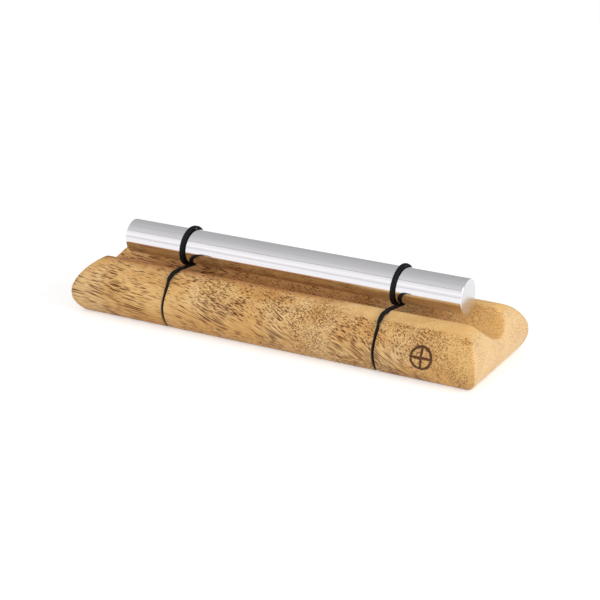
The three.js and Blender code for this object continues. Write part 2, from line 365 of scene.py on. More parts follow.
def kerf_route(inward):
    """From the lip over the crest and down the side, to where the cord turns in under the base."""
    points = []
    for s in shares(ROUTE_STEPS // 4):
        angle = mix(math.pi / 2 + LEG_ANGLE, math.pi / 2, s)
        turn = Vector((math.cos(angle), math.sin(angle)))
        points.append(Vector((LIP_X, LIP_Z)) + turn * (LIP_ROUND + CORD_SEAT - inward))
    places = [side_shoulder(math.pi / 2 * (1 - s)) for s in shares(ROUTE_STEPS)]
    places.append(side_shoulder(0))
    places += [side_undercut(inset_angle(inward) * s) for s in shares(ROUTE_STEPS // 2)[1:]]
    for place, normal in places:
        points.append(place + normal * (cord_offset(CREST_HEIGHT - place.y) - inward))
    return points


def seat_cutter(kerf_x, width, from_height):
    """What lies outside the cord's seat, above a height, in a slab across the base."""
    reach = BASE_WIDTH
    outside = [Vector((-reach, from_height)), Vector((reach, from_height)),
               Vector((reach, BAR_AXIS_HEIGHT)), Vector((-reach, BAR_AXIS_HEIGHT))]
    depth = CORD_RADIUS + FIT_GAP
    inside = [Vector((UNDERSIDE_REACH, CORD_SINK + depth))]
    inside += list(reversed(kerf_route(depth)))
    inside.append(LIP_END - LEG_UP * depth - LEG_OUT * LIP_ROUND)
    low, high = kerf_x - width / 2, kerf_x + width / 2
    cutter = prism("seat_cutter", outside, low, high, across_x)
    core = prism("seat_core", mirrored(inside), low - width, high + width, across_x)
    boolean(cutter, core, "DIFFERENCE")
    return cutter


def pocket_cutter(kerf_x):
    outline = []
    for s in shares(POCKET_STEPS):
        angle = 2 * math.pi * s
        outline.append(Vector((kerf_x + POCKET_RADIUS * math.cos(angle),
                               POCKET_RADIUS * math.sin(angle))))
    return prism("pocket_cutter", outline, -POCKET_DEPTH, POCKET_DEPTH, across_z)


# The carved base
def carved_block():
    reach = BASE_LENGTH
    block = prism("carved_base", section_outline(), -reach, reach, across_x)
    ends = prism("ends", ends_outline(), -BASE_WIDTH, BASE_WIDTH, across_y)
    boolean(block, ends, "INTERSECT")
    remesh = block.modifiers.new("fine", "REMESH")
    remesh.mode = "VOXEL"
    remesh.voxel_size = CARVE_VOXEL * MM
    sanding = block.modifiers.new("sanding", "SMOOTH")
    sanding.factor = SANDING_FACTOR
    sanding.iterations = SANDING_PASSES
    apply_modifiers(block)
    return block


def vectors_of(items, field):
    values = np.zeros(len(items) * 3, np.float32)
    items.foreach_get(field, values)
    return values.reshape(-1, 3)


def wave_by_hand(block):
    """A long low waviness, always inward, that leaves the underside flat."""
    co = vectors_of(block.data.vertices, "co")
    normals = vectors_of(block.data.vertex_normals, "vector")
    for i, (place, normal) in enumerate(zip(co, normals)):
        raised = smooth(place[2] / MM / WAVE_FADE_HEIGHT)
        wave = noise.noise(Vector(place) / (WAVE_LENGTH * MM))
        co[i] = place + normal * (WAVINESS * MM * min(wave, 0) * raised)
    block.data.vertices.foreach_set("co", co.ravel())
    block.data.update()


def sign_mask(x, y, z):
    """1 on the burnt lines, 0 off them, for arrays of millimetres."""
    across = x - SIGN_X
    up = (y - SIGN_Y) * math.sin(SIGN_LEAN) + (z - SIGN_Z) * math.cos(SIGN_LEAN)
    radius = np.hypot(across, up)
    ring = np.abs(radius - SIGN_RADIUS)
    bars = np.minimum(np.abs(across), np.abs(up))
    bars = np.where(radius < SIGN_RADIUS, bars, SIGN_LINE)
    line = np.minimum(ring, bars)
    mask = np.clip((SIGN_LINE / 2 - line) / (SIGN_LINE / 4), 0, 1)
    return np.where(y < SIGN_Y + SIGN_RADIUS, mask, 0)


def burn_in(block):
    """The surface round the sign is made finer, and the lines are pressed in."""
    reach = (SIGN_RADIUS + SIGN_LINE) * MM
    centre = Vector((SIGN_X, SIGN_Y, SIGN_Z)) * MM
    bm = opened(block.data)
    near = [e for e in bm.edges if all((v.co - centre).length < reach for v in e.verts)]
    bmesh.ops.subdivide_edges(bm, edges=near, cuts=SIGN_CUTS, use_grid_fill=True)
    bm.normal_update()
    co = np.array([v.co for v in bm.verts]) / MM
    mask = sign_mask(*co.T)
    for vertex, pressed in zip(bm.verts, mask):
        if pressed > 0:
            vertex.co -= vertex.normal * (SIGN_DEPTH * MM * pressed)
    bm.to_mesh(block.data)
    bm.free()


def close_slivers(block):
    """Welds the slivers that the cuts leave."""
    bm = opened(block.data)
    bmesh.ops.remove_doubles(bm, verts=bm.verts, dist=WELD * MM)
    bmesh.ops.dissolve_degenerate(bm, dist=WELD * MM, edges=bm.edges)
    open_edges = [e for e in bm.edges if e.is_boundary]
    bmesh.ops.holes_fill(bm, edges=open_edges, sides=SLIVER_SIDES)
    bm.to_mesh(block.data)
    bm.free()


def make_base():
    block = carved_block()
    wave_by_hand(block)
    burn_in(block)
    squeeze_end = CREST_HEIGHT - SQUEEZE_START_DROP - SQUEEZE_RUN
    for cord in CORDS.values():
        kerf_x = cord["kerf_x"]
        boolean(block, seat_cutter(kerf_x, KERF_WIDTH, -CORD_SINK), "DIFFERENCE")
        boolean(block, seat_cutter(kerf_x, NOTCH_WIDTH, squeeze_end), "DIFFERENCE")
        boolean(block, pocket_cutter(kerf_x), "DIFFERENCE")
    close_slivers(block)
    smooth_shaded(block, BASE_SHARP_ANGLE)
    return block


# The bar, turned from a profile with rounded edges
def bar_profile():
    """(radius, X) points from one end's edge to the other's."""
    near_end = []
    for s in shares(BAR_EDGE_STEPS) + [1]:
        angle = math.pi / 2 * (1 - s)
        near_end.append((BAR_DIAMETER / 2 - BAR_EDGE_ROUND + BAR_EDGE_ROUND * math.cos(angle),
                         BAR_LENGTH / 2 - BAR_EDGE_ROUND + BAR_EDGE_ROUND * math.sin(angle)))
    return near_end + [(radius, -x) for radius, x in reversed(near_end)]


def make_bar():
    bm = bmesh.new()
    rings = []
    for radius, x in bar_profile():
        ring = []
        for s in shares(BAR_SEGMENTS):
            angle = 2 * math.pi * s
            place = Vector((x, radius * math.sin(angle),
                            BAR_AXIS_HEIGHT + radius * math.cos(angle)))
            ring.append(bm.verts.new(place * MM))
        rings.append(ring)
    join_rings(bm, rings)
    bm.faces.new(rings[0])
    bm.faces.new(rings[-1])
    bar = mesh_object("polished_bar", bm)
    smooth_shaded(bar, BAR_SHARP_ANGLE)
    return bar


# The cords
def catmull(points):
    """A centripetal curve through the points."""
    points = [np.array(p, float) for p in points]
    points = [2 * points[0] - points[1]] + points + [2 * points[-1] - points[-2]]
    out = []
    for a, b, c, d in zip(points, points[1:], points[2:], points[3:]):
        t1 = np.linalg.norm(b - a) ** 0.5
        t2 = t1 + np.linalg.norm(c - b) ** 0.5
        t3 = t2 + np.linalg.norm(d - c) ** 0.5
        for s in shares(CURVE_STEPS):
            t = mix(t1, t2, s)
            ab = a * (t1 - t) / t1 + b * t / t1
            bc = b * (t2 - t) / (t2 - t1) + c * (t - t1) / (t2 - t1)
            cd = c * (t3 - t) / (t3 - t2) + d * (t - t2) / (t3 - t2)
            abc = ab * (t2 - t) / t2 + bc * t / t2
            bcd = bc * (t3 - t) / (t3 - t1) + cd * (t - t1) / (t3 - t1)
            out.append(abc * (t2 - t) / (t2 - t1) + bcd * (t - t1) / (t2 - t1))
    return out + [points[-2]]


def lengths_along(points):
    """How far along the line each of its points lies."""
    return np.concatenate([[0], np.cumsum(np.linalg.norm(np.diff(points, axis=0), axis=1))])


def evenly(points):
    """The same line with its points a cord step apart."""
    points = np.array(points, float)
    along = lengths_along(points)
    at = np.linspace(0, along[-1], round(along[-1] / CORD_STEP) + 1)
    return np.stack([np.interp(at, along, points[:, k]) for k in range(3)], axis=1)


def run_points(kerf_x, way):
    """From the lip through the kerf to the knot, in front (-1) or behind (1)."""
    flat = kerf_route(0)
    flat += [Vector((UNDERSIDE_REACH, CORD_SINK)), Vector((UNDERSIDE_REACH / 2, CORD_SINK)),
             Vector((POCKET_RADIUS + CORD_WIDTH, CORD_SINK)),
             Vector((POCKET_RADIUS - FIT_GAP, CORD_SINK)), Vector((KNOT_REACH, KNOT_HEIGHT))]
    return evenly(catmull([(kerf_x, way * p.x, p.y) for p in flat]))


def turn_point(cord, angle):
    """A point of the turn round the bar; the angle counts from below, up at the back and over."""
    share = (angle + LEG_ANGLE) / (2 * (math.pi + LEG_ANGLE))
    strand = cord["strand_start"] - (CORD_WIDTH + STRAND_GAP) * share ** CROSSING_POWER
    return (cord["kerf_x"] + strand, TURN_RADIUS * math.sin(angle),
            BAR_AXIS_HEIGHT - TURN_RADIUS * math.cos(angle))


def turn_points(cord):
    points = []
    for s in shares(TURN_STEPS) + [1]:
        angle = mix(-LEG_ANGLE, 2 * math.pi + LEG_ANGLE, s)
        points.append(turn_point(cord, angle))
    return evenly(points)


def leg_points(cord, way):
    """From the lip, in line with the kerf, to the bar, in line with the turn."""
    lip = Vector((cord["kerf_x"], way * LIP_END.x, LIP_END.y))
    angle = -LEG_ANGLE if way < 0 else 2 * math.pi + LEG_ANGLE
    bar = Vector(turn_point(cord, angle))
    nearby = Vector(turn_point(cord, angle - way * CORD_STEP / TURN_RADIUS))
    third = (bar - lip).length / 3
    handles = [lip, lip - Vector((0, way * LEG_OUT.x, LEG_OUT.y)) * third,
               bar + (bar - nearby).normalized() * third, bar]
    points = []
    for t in shares(LEG_STEPS) + [1]:
        weights = [(1 - t) ** 3, 3 * t * (1 - t) ** 2, 3 * t * t * (1 - t), t ** 3]
        points.append(sum((h * w for h, w in zip(handles, weights)), Vector()))
    return evenly(points)


def knot_points(kerf_x):
    """A closed trefoil."""
    points = []
    for s in shares(KNOT_STEPS):
        angle = 2 * math.pi * s
        lobe = KNOT_REACH + KNOT_SWING * math.cos(KNOT_LOBES * angle)
        points.append((kerf_x + lobe * math.cos(KNOT_WINDINGS * angle),
                       lobe * math.sin(KNOT_WINDINGS * angle),
                       KNOT_HEIGHT + KNOT_SWING * math.sin(KNOT_LOBES * angle)))
    return evenly(points + points[:1])[:-1]


def unit(vectors):
    return vectors / np.linalg.norm(vectors, axis=1)[:, None]


def cross_axes(points, closed):
    """Unit vectors across the line at each point, along the cord's width and its thickness."""
    ahead = np.roll(points, -1, axis=0)
    behind = np.roll(points, 1, axis=0)
    if not closed:
        ahead[-1] = 2 * points[-1] - points[-2]
        behind[0] = 2 * points[0] - points[1]
    tangent = unit(ahead - behind)
    outward = np.tile([0.0, 0.0, 1.0] if closed else [1.0, 0.0, 0.0], (len(points), 1))
    side = unit(outward - tangent * np.sum(outward * tangent, axis=1)[:, None])
    return side, np.cross(tangent, side)


def squarer(wave):
    """A sine or cosine of a ring that is nearer to a square."""
    return np.sign(wave) * np.abs(wave) ** (2 / CORD_SQUARENESS)


def braided_tube(points, width, thickness, closed=False):
    """Rings of a braided cord round the points: an array of (rings, sides, 3)."""
    side, up = cross_axes(points, closed)
    along = lengths_along(points)
    pitch = BRAID_PITCH
    if closed:
        pitch = along[-1] / round(along[-1] / BRAID_PITCH)
    angle = 2 * np.pi * np.arange(CORD_SIDES) / CORD_SIDES
    spin = BRAID_DIAMONDS * angle[None, :]
    travel = (2 * np.pi / pitch) * along[:, None] / 2
    braid = np.abs(np.cos(spin + travel) * np.cos(spin - travel))
    inward = BRAID_RELIEF * (1 - np.sqrt(braid))
    across = (width / 2 - inward) * squarer(np.cos(angle))
    through = (thickness / 2 - inward) * squarer(np.sin(angle))
    return (points[:, None, :] + side[:, None, :] * across[:, :, None]
            + up[:, None, :] * through[:, :, None])


def cord_tube(points):
    return braided_tube(points, CORD_WIDTH, CORD_THICKNESS)


def squeeze(rings, kerf_x):
    """Narrows the cord where the kerf grips it, but not in the knot's pocket."""
    down = smooth((CREST_HEIGHT - rings[..., 2] - SQUEEZE_START_DROP) / SQUEEZE_RUN)
    out = smooth((np.abs(rings[..., 1]) - KNOT_REACH) / (POCKET_RADIUS - KNOT_REACH))
    width = 1 + (SQUEEZE_SHARE - 1) * down * out
    rings = rings.copy()
    rings[..., 0] = kerf_x + (rings[..., 0] - kerf_x) * width
    return rings


def add_tube(bm, rings, closed):
    made = [[bm.verts.new(Vector(p) * MM) for p in ring] for ring in rings]
    if closed:
        join_rings(bm, made + made[:1])
    else:
        join_rings(bm, made)
        bm.faces.new(list(reversed(made[0])))
        bm.faces.new(made[-1])


def cord_piece(name, tubes):
    """A piece of cord made of (rings, closed) tubes."""
    bm = bmesh.new()
    for rings, closed in tubes:
        add_tube(bm, rings, closed)
    piece = mesh_object(name, bm)
    smooth_shaded(piece, CORD_SHARP_ANGLE)
    return piece


def make_cord(hand, cord):
    kerf_x = cord["kerf_x"]
    knot = braided_tube(knot_points(kerf_x), KNOT_STRAND, KNOT_STRAND, closed=True)
    tubes = [(squeeze(cord_tube(run_points(kerf_x, way)), kerf_x), False) for way in (-1, 1)]
    run = cord_piece(f"{hand}_cord_in_kerf", tubes + [(knot, True)])
    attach(run, "base")
    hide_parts(f"{hand}_cord_base_run")
    turn = cord_piece(
        f"{hand}_loop_round_bar", [(cord_tube(turn_points(cord)), False)])
    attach(turn, "cord_loops")
    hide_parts(f"{hand}_cord_turn")
    pieces = [run, turn]
    for place, way in (("front", -1), ("rear", 1)):
        points = leg_points(cord, way)
        leg = cord_piece(f"{hand}_stretched_{place}_leg", [(cord_tube(points), False)])
        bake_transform(leg)
        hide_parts(f"{hand}_cord_{place}_leg")
        pieces.append(leg)
    return pieces


# Node trees
def linear(red, green, blue):
    """A colour written as 0 to 255 on the screen, for a shader."""
    def channel(value):
        v = value / 255
        return v / 12.92 if v <= 0.04045 else ((v + 0.055) / 1.055) ** 2.4
    return (channel(red), channel(green), channel(blue), 1.0)


class Nodes:
    """Short calls for building a node tree."""

    def __init__(self, tree):
        self.tree = tree

    def add(self, kind):
        return self.tree.nodes.new(kind)

    def put(self, value, socket):
        if isinstance(value, bpy.types.NodeSocket):
            self.tree.links.new(value, socket)
        else:
            socket.default_value = value

    def math(self, operation, a, b=0):
        node = self.add("ShaderNodeMath")
        node.operation = operation
        self.put(a, node.inputs[0])
        self.put(b, node.inputs[1])
        return node.outputs[0]

    def product(self, first, *others):
        for other in others:
            first = self.math("MULTIPLY", first, other)
        return first

    def vector(self, operation, a, b):
        node = self.add("ShaderNodeVectorMath")
        node.operation = operation
        self.put(a, node.inputs[0])
        self.put(b, node.inputs[1])
        return node.outputs["Vector"]

    def place(self):
        """The place in the object, in metres."""
        return self.add("ShaderNodeTexCoord").outputs["Object"]

    def split(self, vector):
        node = self.add("ShaderNodeSeparateXYZ")
        self.put(vector, node.inputs[0])
        return node.outputs

    def join(self, x, y, z):
        node = self.add("ShaderNodeCombineXYZ")
        for value, socket in zip((x, y, z), node.inputs):
            self.put(value, socket)
        return node.outputs[0]

    def in_sizes(self, place, size):
        """The place counted in lumps of a size: one length, or one for each axis."""
        sizes = size if isinstance(size, tuple) else (size, size, size)
        return self.vector("MULTIPLY", place, tuple(1 / s for s in sizes))

    def noise(self, place, size, detail=2.0, rough=0.5):
        node = self.add("ShaderNodeTexNoise")
        self.put(self.in_sizes(place, size), node.inputs["Vector"])
        self.put(1.0, node.inputs["Scale"])
        self.put(detail, node.inputs["Detail"])
        self.put(rough, node.inputs["Roughness"])
        return node.outputs["Fac"]

    def cells(self, place, size):
        """How far a place is from the middle of its cell, and the cell's random colour."""
        node = self.add("ShaderNodeTexVoronoi")
        self.put(self.in_sizes(place, size), node.inputs["Vector"])
        self.put(1.0, node.inputs["Scale"])
        return node.outputs["Distance"], node.outputs["Color"]

    def span(self, value, low, high, to_low=0, to_high=1, ease="SMOOTHSTEP"):
        """Goes from to_low to to_high while the value goes from low to high."""
        node = self.add("ShaderNodeMapRange")
        node.interpolation_type = ease
        for part, socket in zip((value, low, high, to_low, to_high), node.inputs):
            self.put(part, socket)
        return node.outputs[0]

    def blend(self, share, a, b):
        node = self.add("ShaderNodeMix")
        node.data_type = "RGBA"
        self.put(share, node.inputs[0])
        self.put(a, node.inputs[6])
        self.put(b, node.inputs[7])
        return node.outputs[2]

    def glow(self, strength):
        node = self.add("ShaderNodeEmission")
        self.put(strength, node.inputs["Strength"])
        return node.outputs[0]


class Surface(Nodes):
    """A material with the standard shader; mm, x, y and z are the place in millimetres."""

    def __init__(self, name):
        self.material = bpy.data.materials.new(name)
        self.material.use_nodes = True
        super().__init__(self.material.node_tree)
        self.shader = self.tree.nodes["Principled BSDF"]
        self.mm = self.in_sizes(self.place(), MM)
        self.x, self.y, self.z = self.split(self.mm)

    def bump(self, height, distance, strength):
        node = self.add("ShaderNodeBump")
        self.put(strength, node.inputs["Strength"])
        self.put(distance * MM, node.inputs["Distance"])
        self.put(height, node.inputs["Height"])
        return node.outputs[0]

    def end_share(self, low, high):
        """1 where the surface faces along the bar."""
        facing = self.add("ShaderNodeNewGeometry").outputs["Normal"]
        return self.span(self.math("ABSOLUTE", self.split(facing)[0]), low, high)

    def axis_distance(self, height):
        """How far a place lies from the line along X at a height."""
        up = self.math("SUBTRACT", self.z, height)
        squares = self.math("ADD", self.product(self.y, self.y), self.product(up, up))
        return self.math("SQRT", squares)

    def set(self, **values):
        for name, value in values.items():
            self.put(value, self.shader.inputs[name.replace("_", " ")])


MIDDLE = (0.3, 0.7)  # where most of a noise's values lie
WIDE_MIDDLE = (0.2, 0.8)

# The wood's plain pattern
PALE_WOOD = linear(249, 203, 134)
TAN_WOOD = linear(227, 171, 99)
CLOUD_WOOD = linear(252, 214, 154)
FIBRE_WOOD = linear(186, 130, 68)
FIGURE_SIZE = (55, 9, 9)
FIGURE_RANGE = (0.36, 0.66)
FIBRE_SIZE = (7, 0.55, 0.55)
FIBRE_SHARE = 0.35
CLOUD_SIZE = 26
CLOUD_RANGE = (0.45, 0.72)

# The way the grain runs: each bend has a start, a width and a slope
GRAIN_SLOPE = 0.12
GRAIN_BENDS = ((-62, 40, 0.28), (46, 14, 0.35), (76, 20, -0.5))
DIVE_X = (15, 40)
DIVE_DEPTH = 16
DIVE_BEND = (70, 22, 0.85)
WOBBLE_SIZE = 38
WOBBLE_HEIGHT = 5

# The wood's places with a look of their own, and painted shade and light: shade in the trough and
# of the bar on the crest, a highlight on the crest, light on the sawn ends
# Painted shade in the trough under the bar: darker and redder towards its bottom
SHADED_TROUGH_FLOOR = linear(219, 148, 86)
TROUGH_LIP = linear(255, 206, 130)
TROUGH_SHADE_SHARE = 0.6
TROUGH_EDGE = (TROUGH_RADIUS + 0.2, TROUGH_RADIUS + 1.2)
TROUGH_SHADE_HEIGHTS = (TROUGH_HEIGHT - TROUGH_RADIUS, LIP_Z - 1)
# Towards the right end the trough's painted shade is eased
PAINTED_SHADE_EASED_X = (20, 60)
PAINTED_SHADE_EASED_SHARE = 0.39
CREST_EDGE = (TROUGH_RADIUS, TROUGH_RADIUS + 0.8)
# Painted shade of the bar along the crest near the lip
BAR_SHADE_ON_CREST = linear(182, 116, 60)
BAR_SHADE_ON_CREST_SHARE = 0.85
BAR_SHADE_ON_CREST_X = (15, 60)
BAR_SHADE_ON_CREST_Y = (LIP_X - 1, LIP_X + 5.5)
# Painted highlight on the top of the front crest, towards the right
CREST_HIGHLIGHT = linear(246, 203, 137)
CREST_HIGHLIGHT_SHARE = 0.5
CREST_HIGHLIGHT_X = (20, 55)
CREST_HIGHLIGHT_Z = (25, 26.3)
GOLDEN_END = linear(246, 196, 122)
GOLDEN_SHARE = 0.6
GOLDEN_X = (78, 98)
# Sawn end grain: partly its own paler tone, partly painted light on the end faces
SAWN_PALE_AND_LIT = linear(250, 217, 164)
SAWN_TAN_AND_LIT = linear(238, 197, 140)
SAWN_FACING = (0.5, 0.8)

# The pores: each kind has its smallest and largest share of a cell, a strength and a shift
PORES = (
    {"length": 11, "width": 0.66, "cell_shares": (0.18, 0.56), "strength": 1, "shift": (0, 0, 0)},
    {"length": 20, "width": 0.95, "cell_shares": (0.08, 0.38), "strength": 1, "shift": (31, 17, 5)},
    {"length": 6.5, "width": 0.45, "cell_shares": (0.12, 0.48), "strength": 0.6,
     "shift": (31, 17, 5)},
)
PORE = linear(88, 34, 6)
SAWN_PORE = linear(164, 94, 46)
STAIN = linear(172, 110, 40)
SAWN_STAIN = linear(206, 146, 84)
STAIN_SHARE = 0.42
CORE_SHARE = 0.78
HALO_SHARE = 1.7
FAINTEST_SHARE = 0.6
CROWD_SIZE = 19
CROWD_RANGE = (0.35, 0.65)
CROWD_SHARES = (0.7, 1.15)
BUSY_SHARE = 0.14
BUSY_START_X = (48, 68)
BUSY_END_X = (86, 100)
BUSY_Y = (-LIP_X - 1, -LIP_X)
# Pores fade under the crest's painted highlight
CREST_HIGHLIGHT_FADE_SHARE = 1.6
SAWN_PORE_SHARE = 0.6
# Pores fade where the trough's painted shade is eased
PAINTED_SHADE_EASED_PORE_SHARE = 0.6
END_PORE_SHARE = 0.76
END_PORE_X = (76, 96)

# The sign's burnt lines
BURNT = linear(78, 36, 10)
BURNT_SHARE = 0.92
BURNT_EDGE_SHARES = (0.35, 0.68)
RAGGED_SIZE = 1 / 1.3
RAGGED_REACH = 0.8

# The wood's finish
WOOD_ROUGHNESS = (0.42, 0.56)
WOOD_SPECULAR = 0.26
FIBRE_RELIEF_SHARE = 0.25
WOOD_BUMP = (0.06, 0.4)


def soft_hinge(n, start, width, slope):
    """A height that stays 0 along the bar up to start and then climbs with a slope."""
    t = n.product(n.math("SUBTRACT", n.x, start), 1 / width)
    t = n.math("MINIMUM", n.math("MAXIMUM", t, 0), 1)
    curve = n.product(n.product(t, t), slope * width / 2)
    beyond = n.math("MAXIMUM", n.math("SUBTRACT", n.x, start + width), 0)
    return n.math("ADD", curve, n.product(beyond, slope))


def grain_place(n):
    """The place with the grain laid straight along X.

    The grain slants gently down at the left, more from the middle on, and steeply at the right
    cord. It dives into the front face for a stretch right of the middle, and for good near the
    right end.
    """
    wobble = n.math("SUBTRACT", n.noise(n.mm, WOBBLE_SIZE, detail=1.0), 0.5)
    slant = n.product(n.x, GRAIN_SLOPE)
    for bend in GRAIN_BENDS:
        slant = n.math("ADD", slant, soft_hinge(n, *bend))
    dive = n.math("ADD", n.span(n.x, *DIVE_X, 0, DIVE_DEPTH), soft_hinge(n, *DIVE_BEND))
    deep = n.math("SUBTRACT", n.math("ADD", n.y, wobble), dive)
    high = n.math("ADD", n.math("ADD", n.z, n.product(wobble, WOBBLE_HEIGHT)), slant)
    return n.join(n.x, deep, high)


def plain_tone(n, grain, fibre):
    """A long figure, pale clouds and thin brown fibres."""
    figure = n.noise(grain, FIGURE_SIZE, detail=3.0, rough=0.55)
    cloud = n.noise(n.mm, CLOUD_SIZE)
    tone = n.blend(n.span(figure, *FIGURE_RANGE), PALE_WOOD, TAN_WOOD)
    tone = n.blend(n.span(cloud, *CLOUD_RANGE), tone, CLOUD_WOOD)
    return n.blend(n.span(fibre, *MIDDLE, 0, FIBRE_SHARE), tone, FIBRE_WOOD)


def trough_painted_shade(n, tone, hollow, painted_shade_eased):
    """Painted shade under the bar: the trough is redder and darker towards its bottom, less so near
    the right end.
    """
    share = n.math("SUBTRACT", n.product(hollow, TROUGH_SHADE_SHARE), n.product(painted_shade_eased, PAINTED_SHADE_EASED_SHARE))
    return n.blend(share, tone, n.blend(n.span(n.z, *TROUGH_SHADE_HEIGHTS), SHADED_TROUGH_FLOOR, TROUGH_LIP))


def painted_bar_shade_on_crest(n, tone, outside):
    """Painted shade of the bar, spread from the trough over the crest near the lip, but not near
    the right end.
    """
    near_lip = n.span(n.math("ABSOLUTE", n.y), *BAR_SHADE_ON_CREST_Y, BAR_SHADE_ON_CREST_SHARE, 0)
    share = n.product(near_lip, n.span(n.x, *BAR_SHADE_ON_CREST_X, 1, 0), outside)
    return n.blend(share, tone, BAR_SHADE_ON_CREST)


def painted_crest_highlight(n, outside):
    """Painted highlight: the front crest is paler towards the right."""
    high = n.span(n.z, *CREST_HIGHLIGHT_Z, 0, CREST_HIGHLIGHT_SHARE)
    return n.product(high, n.span(n.x, *CREST_HIGHLIGHT_X), outside)


def sawn_tone_and_painted_light(n, tone, fibre, end_on):
    """Sawn end grain is paler: partly its own tone, partly painted light on the end faces."""
    pale = n.blend(n.span(fibre, *MIDDLE), SAWN_PALE_AND_LIT, SAWN_TAN_AND_LIT)
    return n.blend(end_on, tone, pale)


def pore_crowd(n):
    """How large the pores are from place to place: largest round the sign, on the front face."""
    crowd = n.span(n.noise(n.mm, CROWD_SIZE), *CROWD_RANGE, *CROWD_SHARES)
    busy = n.product(n.span(n.x, *BUSY_START_X, 0, BUSY_SHARE), n.span(n.x, *BUSY_END_X, 1, 0),
                     n.span(n.y, *BUSY_Y, 1, 0))
    return n.product(crowd, n.math("ADD", busy, 1))


def pores_of_kind(n, grain, kind, crowd):
    """Dark vessels, long along the grain, some of them fainter, and the stained wood round them."""
    place = n.vector("ADD", grain, kind["shift"])
    distance, cell = n.cells(place, (kind["length"], kind["width"], kind["width"]))
    pick = n.split(cell)
    size = n.product(n.span(pick[0], 0, 1, *kind["cell_shares"], "LINEAR"), crowd)
    faint = n.span(pick[1], 0, 1, FAINTEST_SHARE, 1, "LINEAR")
    core = n.span(distance, n.product(size, CORE_SHARE), size, 1, 0)
    stain = n.span(distance, size, n.product(size, HALO_SHARE), 1, 0)
    return n.product(core, faint), n.product(stain, faint)


def all_pores(n, grain):
    crowd = pore_crowd(n)
    dark = stain = 0
    for kind in PORES:
        core, halo = pores_of_kind(n, grain, kind, crowd)
        dark = n.math("MAXIMUM", dark, n.product(core, kind["strength"]))
        stain = n.math("MAXIMUM", stain, n.product(halo, kind["strength"]))
    return dark, stain


def pore_strength(n, crest, painted_shade_eased, end_on):
    """Pores fade on the crest's painted highlight, on sawn ends, near the right end and where the
    trough's painted shade is eased.
    """
    strength = n.math("SUBTRACT", 1, n.product(crest, CREST_HIGHLIGHT_FADE_SHARE))
    return n.product(strength, n.span(end_on, 0, 1, 1, SAWN_PORE_SHARE),
                     n.span(n.x, *END_PORE_X, 1, END_PORE_SHARE),
                     n.span(painted_shade_eased, 0, 1, 1, PAINTED_SHADE_EASED_PORE_SHARE))


def sign_lines(n):
    """1 on the sign's ragged burnt lines."""
    across = n.math("SUBTRACT", n.x, SIGN_X)
    up = n.math("ADD",
                n.product(n.math("SUBTRACT", n.y, SIGN_Y), math.sin(SIGN_LEAN)),
                n.product(n.math("SUBTRACT", n.z, SIGN_Z), math.cos(SIGN_LEAN)))
    radius = n.math("SQRT", n.math("ADD", n.product(across, across), n.product(up, up)))
    ring = n.math("ABSOLUTE", n.math("SUBTRACT", radius, SIGN_RADIUS))
    bars = n.math("MINIMUM", n.math("ABSOLUTE", across), n.math("ABSOLUTE", up))
    inside = n.math("LESS_THAN", radius, SIGN_RADIUS)
    bars = n.math("ADD", bars, n.product(n.math("SUBTRACT", 1, inside), SIGN_LINE))
    ragged = n.math("SUBTRACT", n.noise(n.mm, RAGGED_SIZE, detail=3.0), 0.5)
    line = n.math("ADD", n.math("MINIMUM", ring, bars), n.product(ragged, RAGGED_REACH))
    front = n.math("LESS_THAN", n.y, SIGN_Y + SIGN_RADIUS)
    edge = [SIGN_LINE * share for share in BURNT_EDGE_SHARES]
    return n.product(n.span(line, *edge, 1, 0), front)


def wood_material():
    n = Surface("oiled_hardwood")
    grain = grain_place(n)
    fibre = n.noise(grain, FIBRE_SIZE)
    from_axis = n.axis_distance(TROUGH_HEIGHT)
    hollow = n.span(from_axis, *TROUGH_EDGE, 1, 0)
    outside = n.span(from_axis, *CREST_EDGE)
    # Where the trough's painted shade is eased, towards the right end
    painted_shade_eased = n.product(hollow, n.span(n.x, *PAINTED_SHADE_EASED_X))
    # Painted highlight on the front crest
    crest = painted_crest_highlight(n, outside)
    end_on = n.end_share(*SAWN_FACING)

    tone = plain_tone(n, grain, fibre)
    # Painted shade in the trough under the bar
    tone = trough_painted_shade(n, tone, hollow, painted_shade_eased)
    # Painted shade of the bar on the crest
    tone = painted_bar_shade_on_crest(n, tone, outside)
    # Painted highlight on the front crest
    tone = n.blend(crest, tone, CREST_HIGHLIGHT)
    tone = n.blend(n.span(n.x, *GOLDEN_X, 0, GOLDEN_SHARE), tone, GOLDEN_END)
    # Paler end faces: partly end grain, partly painted light
    tone = sawn_tone_and_painted_light(n, tone, fibre, end_on)

    dark, stain = all_pores(n, grain)
    strength = pore_strength(n, crest, painted_shade_eased, end_on)
    dark = n.product(dark, strength)
    stain = n.product(stain, strength, STAIN_SHARE)
    tone = n.blend(stain, tone, n.blend(end_on, STAIN, SAWN_STAIN))
    tone = n.blend(dark, tone, n.blend(end_on, PORE, SAWN_PORE))
    tone = n.blend(n.product(sign_lines(n), BURNT_SHARE), tone, BURNT)

    relief = n.math("SUBTRACT", n.product(fibre, FIBRE_RELIEF_SHARE), dark)
    n.set(Base_Color=tone, Specular_IOR_Level=WOOD_SPECULAR,
          Roughness=n.span(fibre, *WIDE_MIDDLE, *WOOD_ROUGHNESS),
          Normal=n.bump(relief, *WOOD_BUMP))
    return n.material


# The bar's look
METAL_LIGHT = linear(237, 235, 238)
METAL_DARK = linear(229, 227, 231)
METAL_END = linear(221, 220, 223)
METAL_END_FACING = (0.9, 0.98)
METAL_END_SHARE = 0.8
METAL_ROUGHNESS = (0.07, 0.12)
METAL_END_ROUGHNESS = 0.12
METAL_BUMP = (0.0015, 0.35)
DRAWN_SIZE = (60, 0.35, 0.35)
TURNED_SIZE = 0.3


